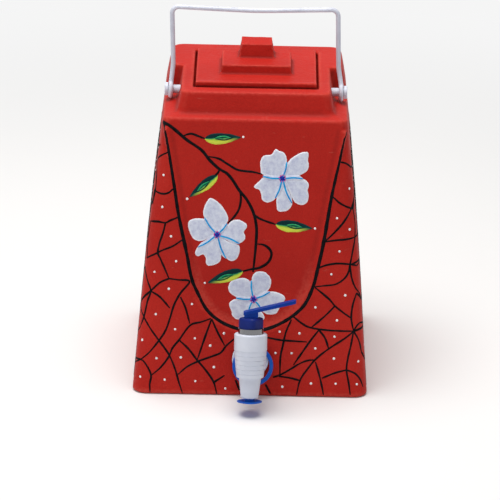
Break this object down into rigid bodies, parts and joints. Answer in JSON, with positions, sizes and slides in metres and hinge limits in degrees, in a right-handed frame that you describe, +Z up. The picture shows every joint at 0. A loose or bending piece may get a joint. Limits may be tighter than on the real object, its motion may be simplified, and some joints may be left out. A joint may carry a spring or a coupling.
{
  "type": "clay water pot with tap",
  "caption": "Square tapering clay water pot with a drop-in lid, a swinging wire bail and a spring-closed lever tap low on the front wall.",
  "frame": {"origin": "on the floor, under the middle of the pot's base", "axes": "+Z up, the tap and the painted front face -Y, the bail's pins lie along X"},
  "size_m": [0.2154, 0.2725, 0.3476],
  "materials": {
    "painted_clay": "satin",
    "coated_wire": "satin",
    "white_plastic": "satin",
    "blue_plastic": "gloss",
    "black_rubber": "matte",
    "silicone": "satin",
    "chrome": "polished",
    "spring_steel": "satin"
  },
  "bodies": {
    "pot": {"pot_body": "painted_clay", "pivot_pin_left": "white_plastic", "pivot_pin_right": "white_plastic", "tap_body": "white_plastic", "flange_washer": "white_plastic", "outer_gasket": "black_rubber", "inner_gasket": "black_rubber", "back_nut": "white_plastic", "hanging_ring": "blue_plastic", "bonnet_cap": "blue_plastic", "stem_oring": "black_rubber", "bonnet_gasket": "black_rubber", "chrome_collar": "chrome"},
    "lid": {"lid": "painted_clay"},
    "bail": {"bail_handle": "coated_wire"},
    "turning_head": {"spring_washer": "white_plastic", "valve_spring": "spring_steel"},
    "valve": {"valve_stem": "white_plastic", "valve_plug": "silicone"},
    "lever": {"lever": "blue_plastic", "lever_pin": "spring_steel"},
    "spout_cap": {"spout_cap": "blue_plastic"}
  },
  "joints": [
    {"name": "lid_lift", "type": "slide", "parent": "pot", "child": "lid", "axis": [0, 0, 1], "range_m": [0, 0.04]},
    {"name": "bail_swing", "type": "hinge", "parent": "pot", "child": "bail", "pos_m": [0, -0.026, 0.2675], "axis": [1, 0, 0], "range_deg": [-65, 90]},
    {"name": "lever_turn", "type": "hinge", "parent": "pot", "child": "turning_head", "pos_m": [0, -0.14622, 0.04364], "axis": [0, 0.2079, 0.9781], "range_deg": [-210, 35]},
    {"name": "valve_lift", "type": "slide", "parent": "turning_head", "child": "valve", "axis": [0, 0.2079, 0.9781], "range_m": [0, 0.00201], "deforming": ["valve_spring"]},
    {"name": "lever_press", "type": "hinge", "parent": "valve", "child": "lever", "pos_m": [0, -0.1362, 0.09078], "axis": [0, 0.9781, -0.2079], "range_deg": [0, 20], "stiffness_Nm_per_rad": 0.1, "springref_deg": -20.05},
    {"name": "spout_cap_pull", "type": "slide", "parent": "pot", "child": "spout_cap", "axis": [0, -0.2079, -0.9781], "range_m": [0, 0.007]}
  ],
  "couplings": [
    {"joint": "valve_lift", "follows": "lever_press", "m_per_rad": 0.0057582}
  ]
}
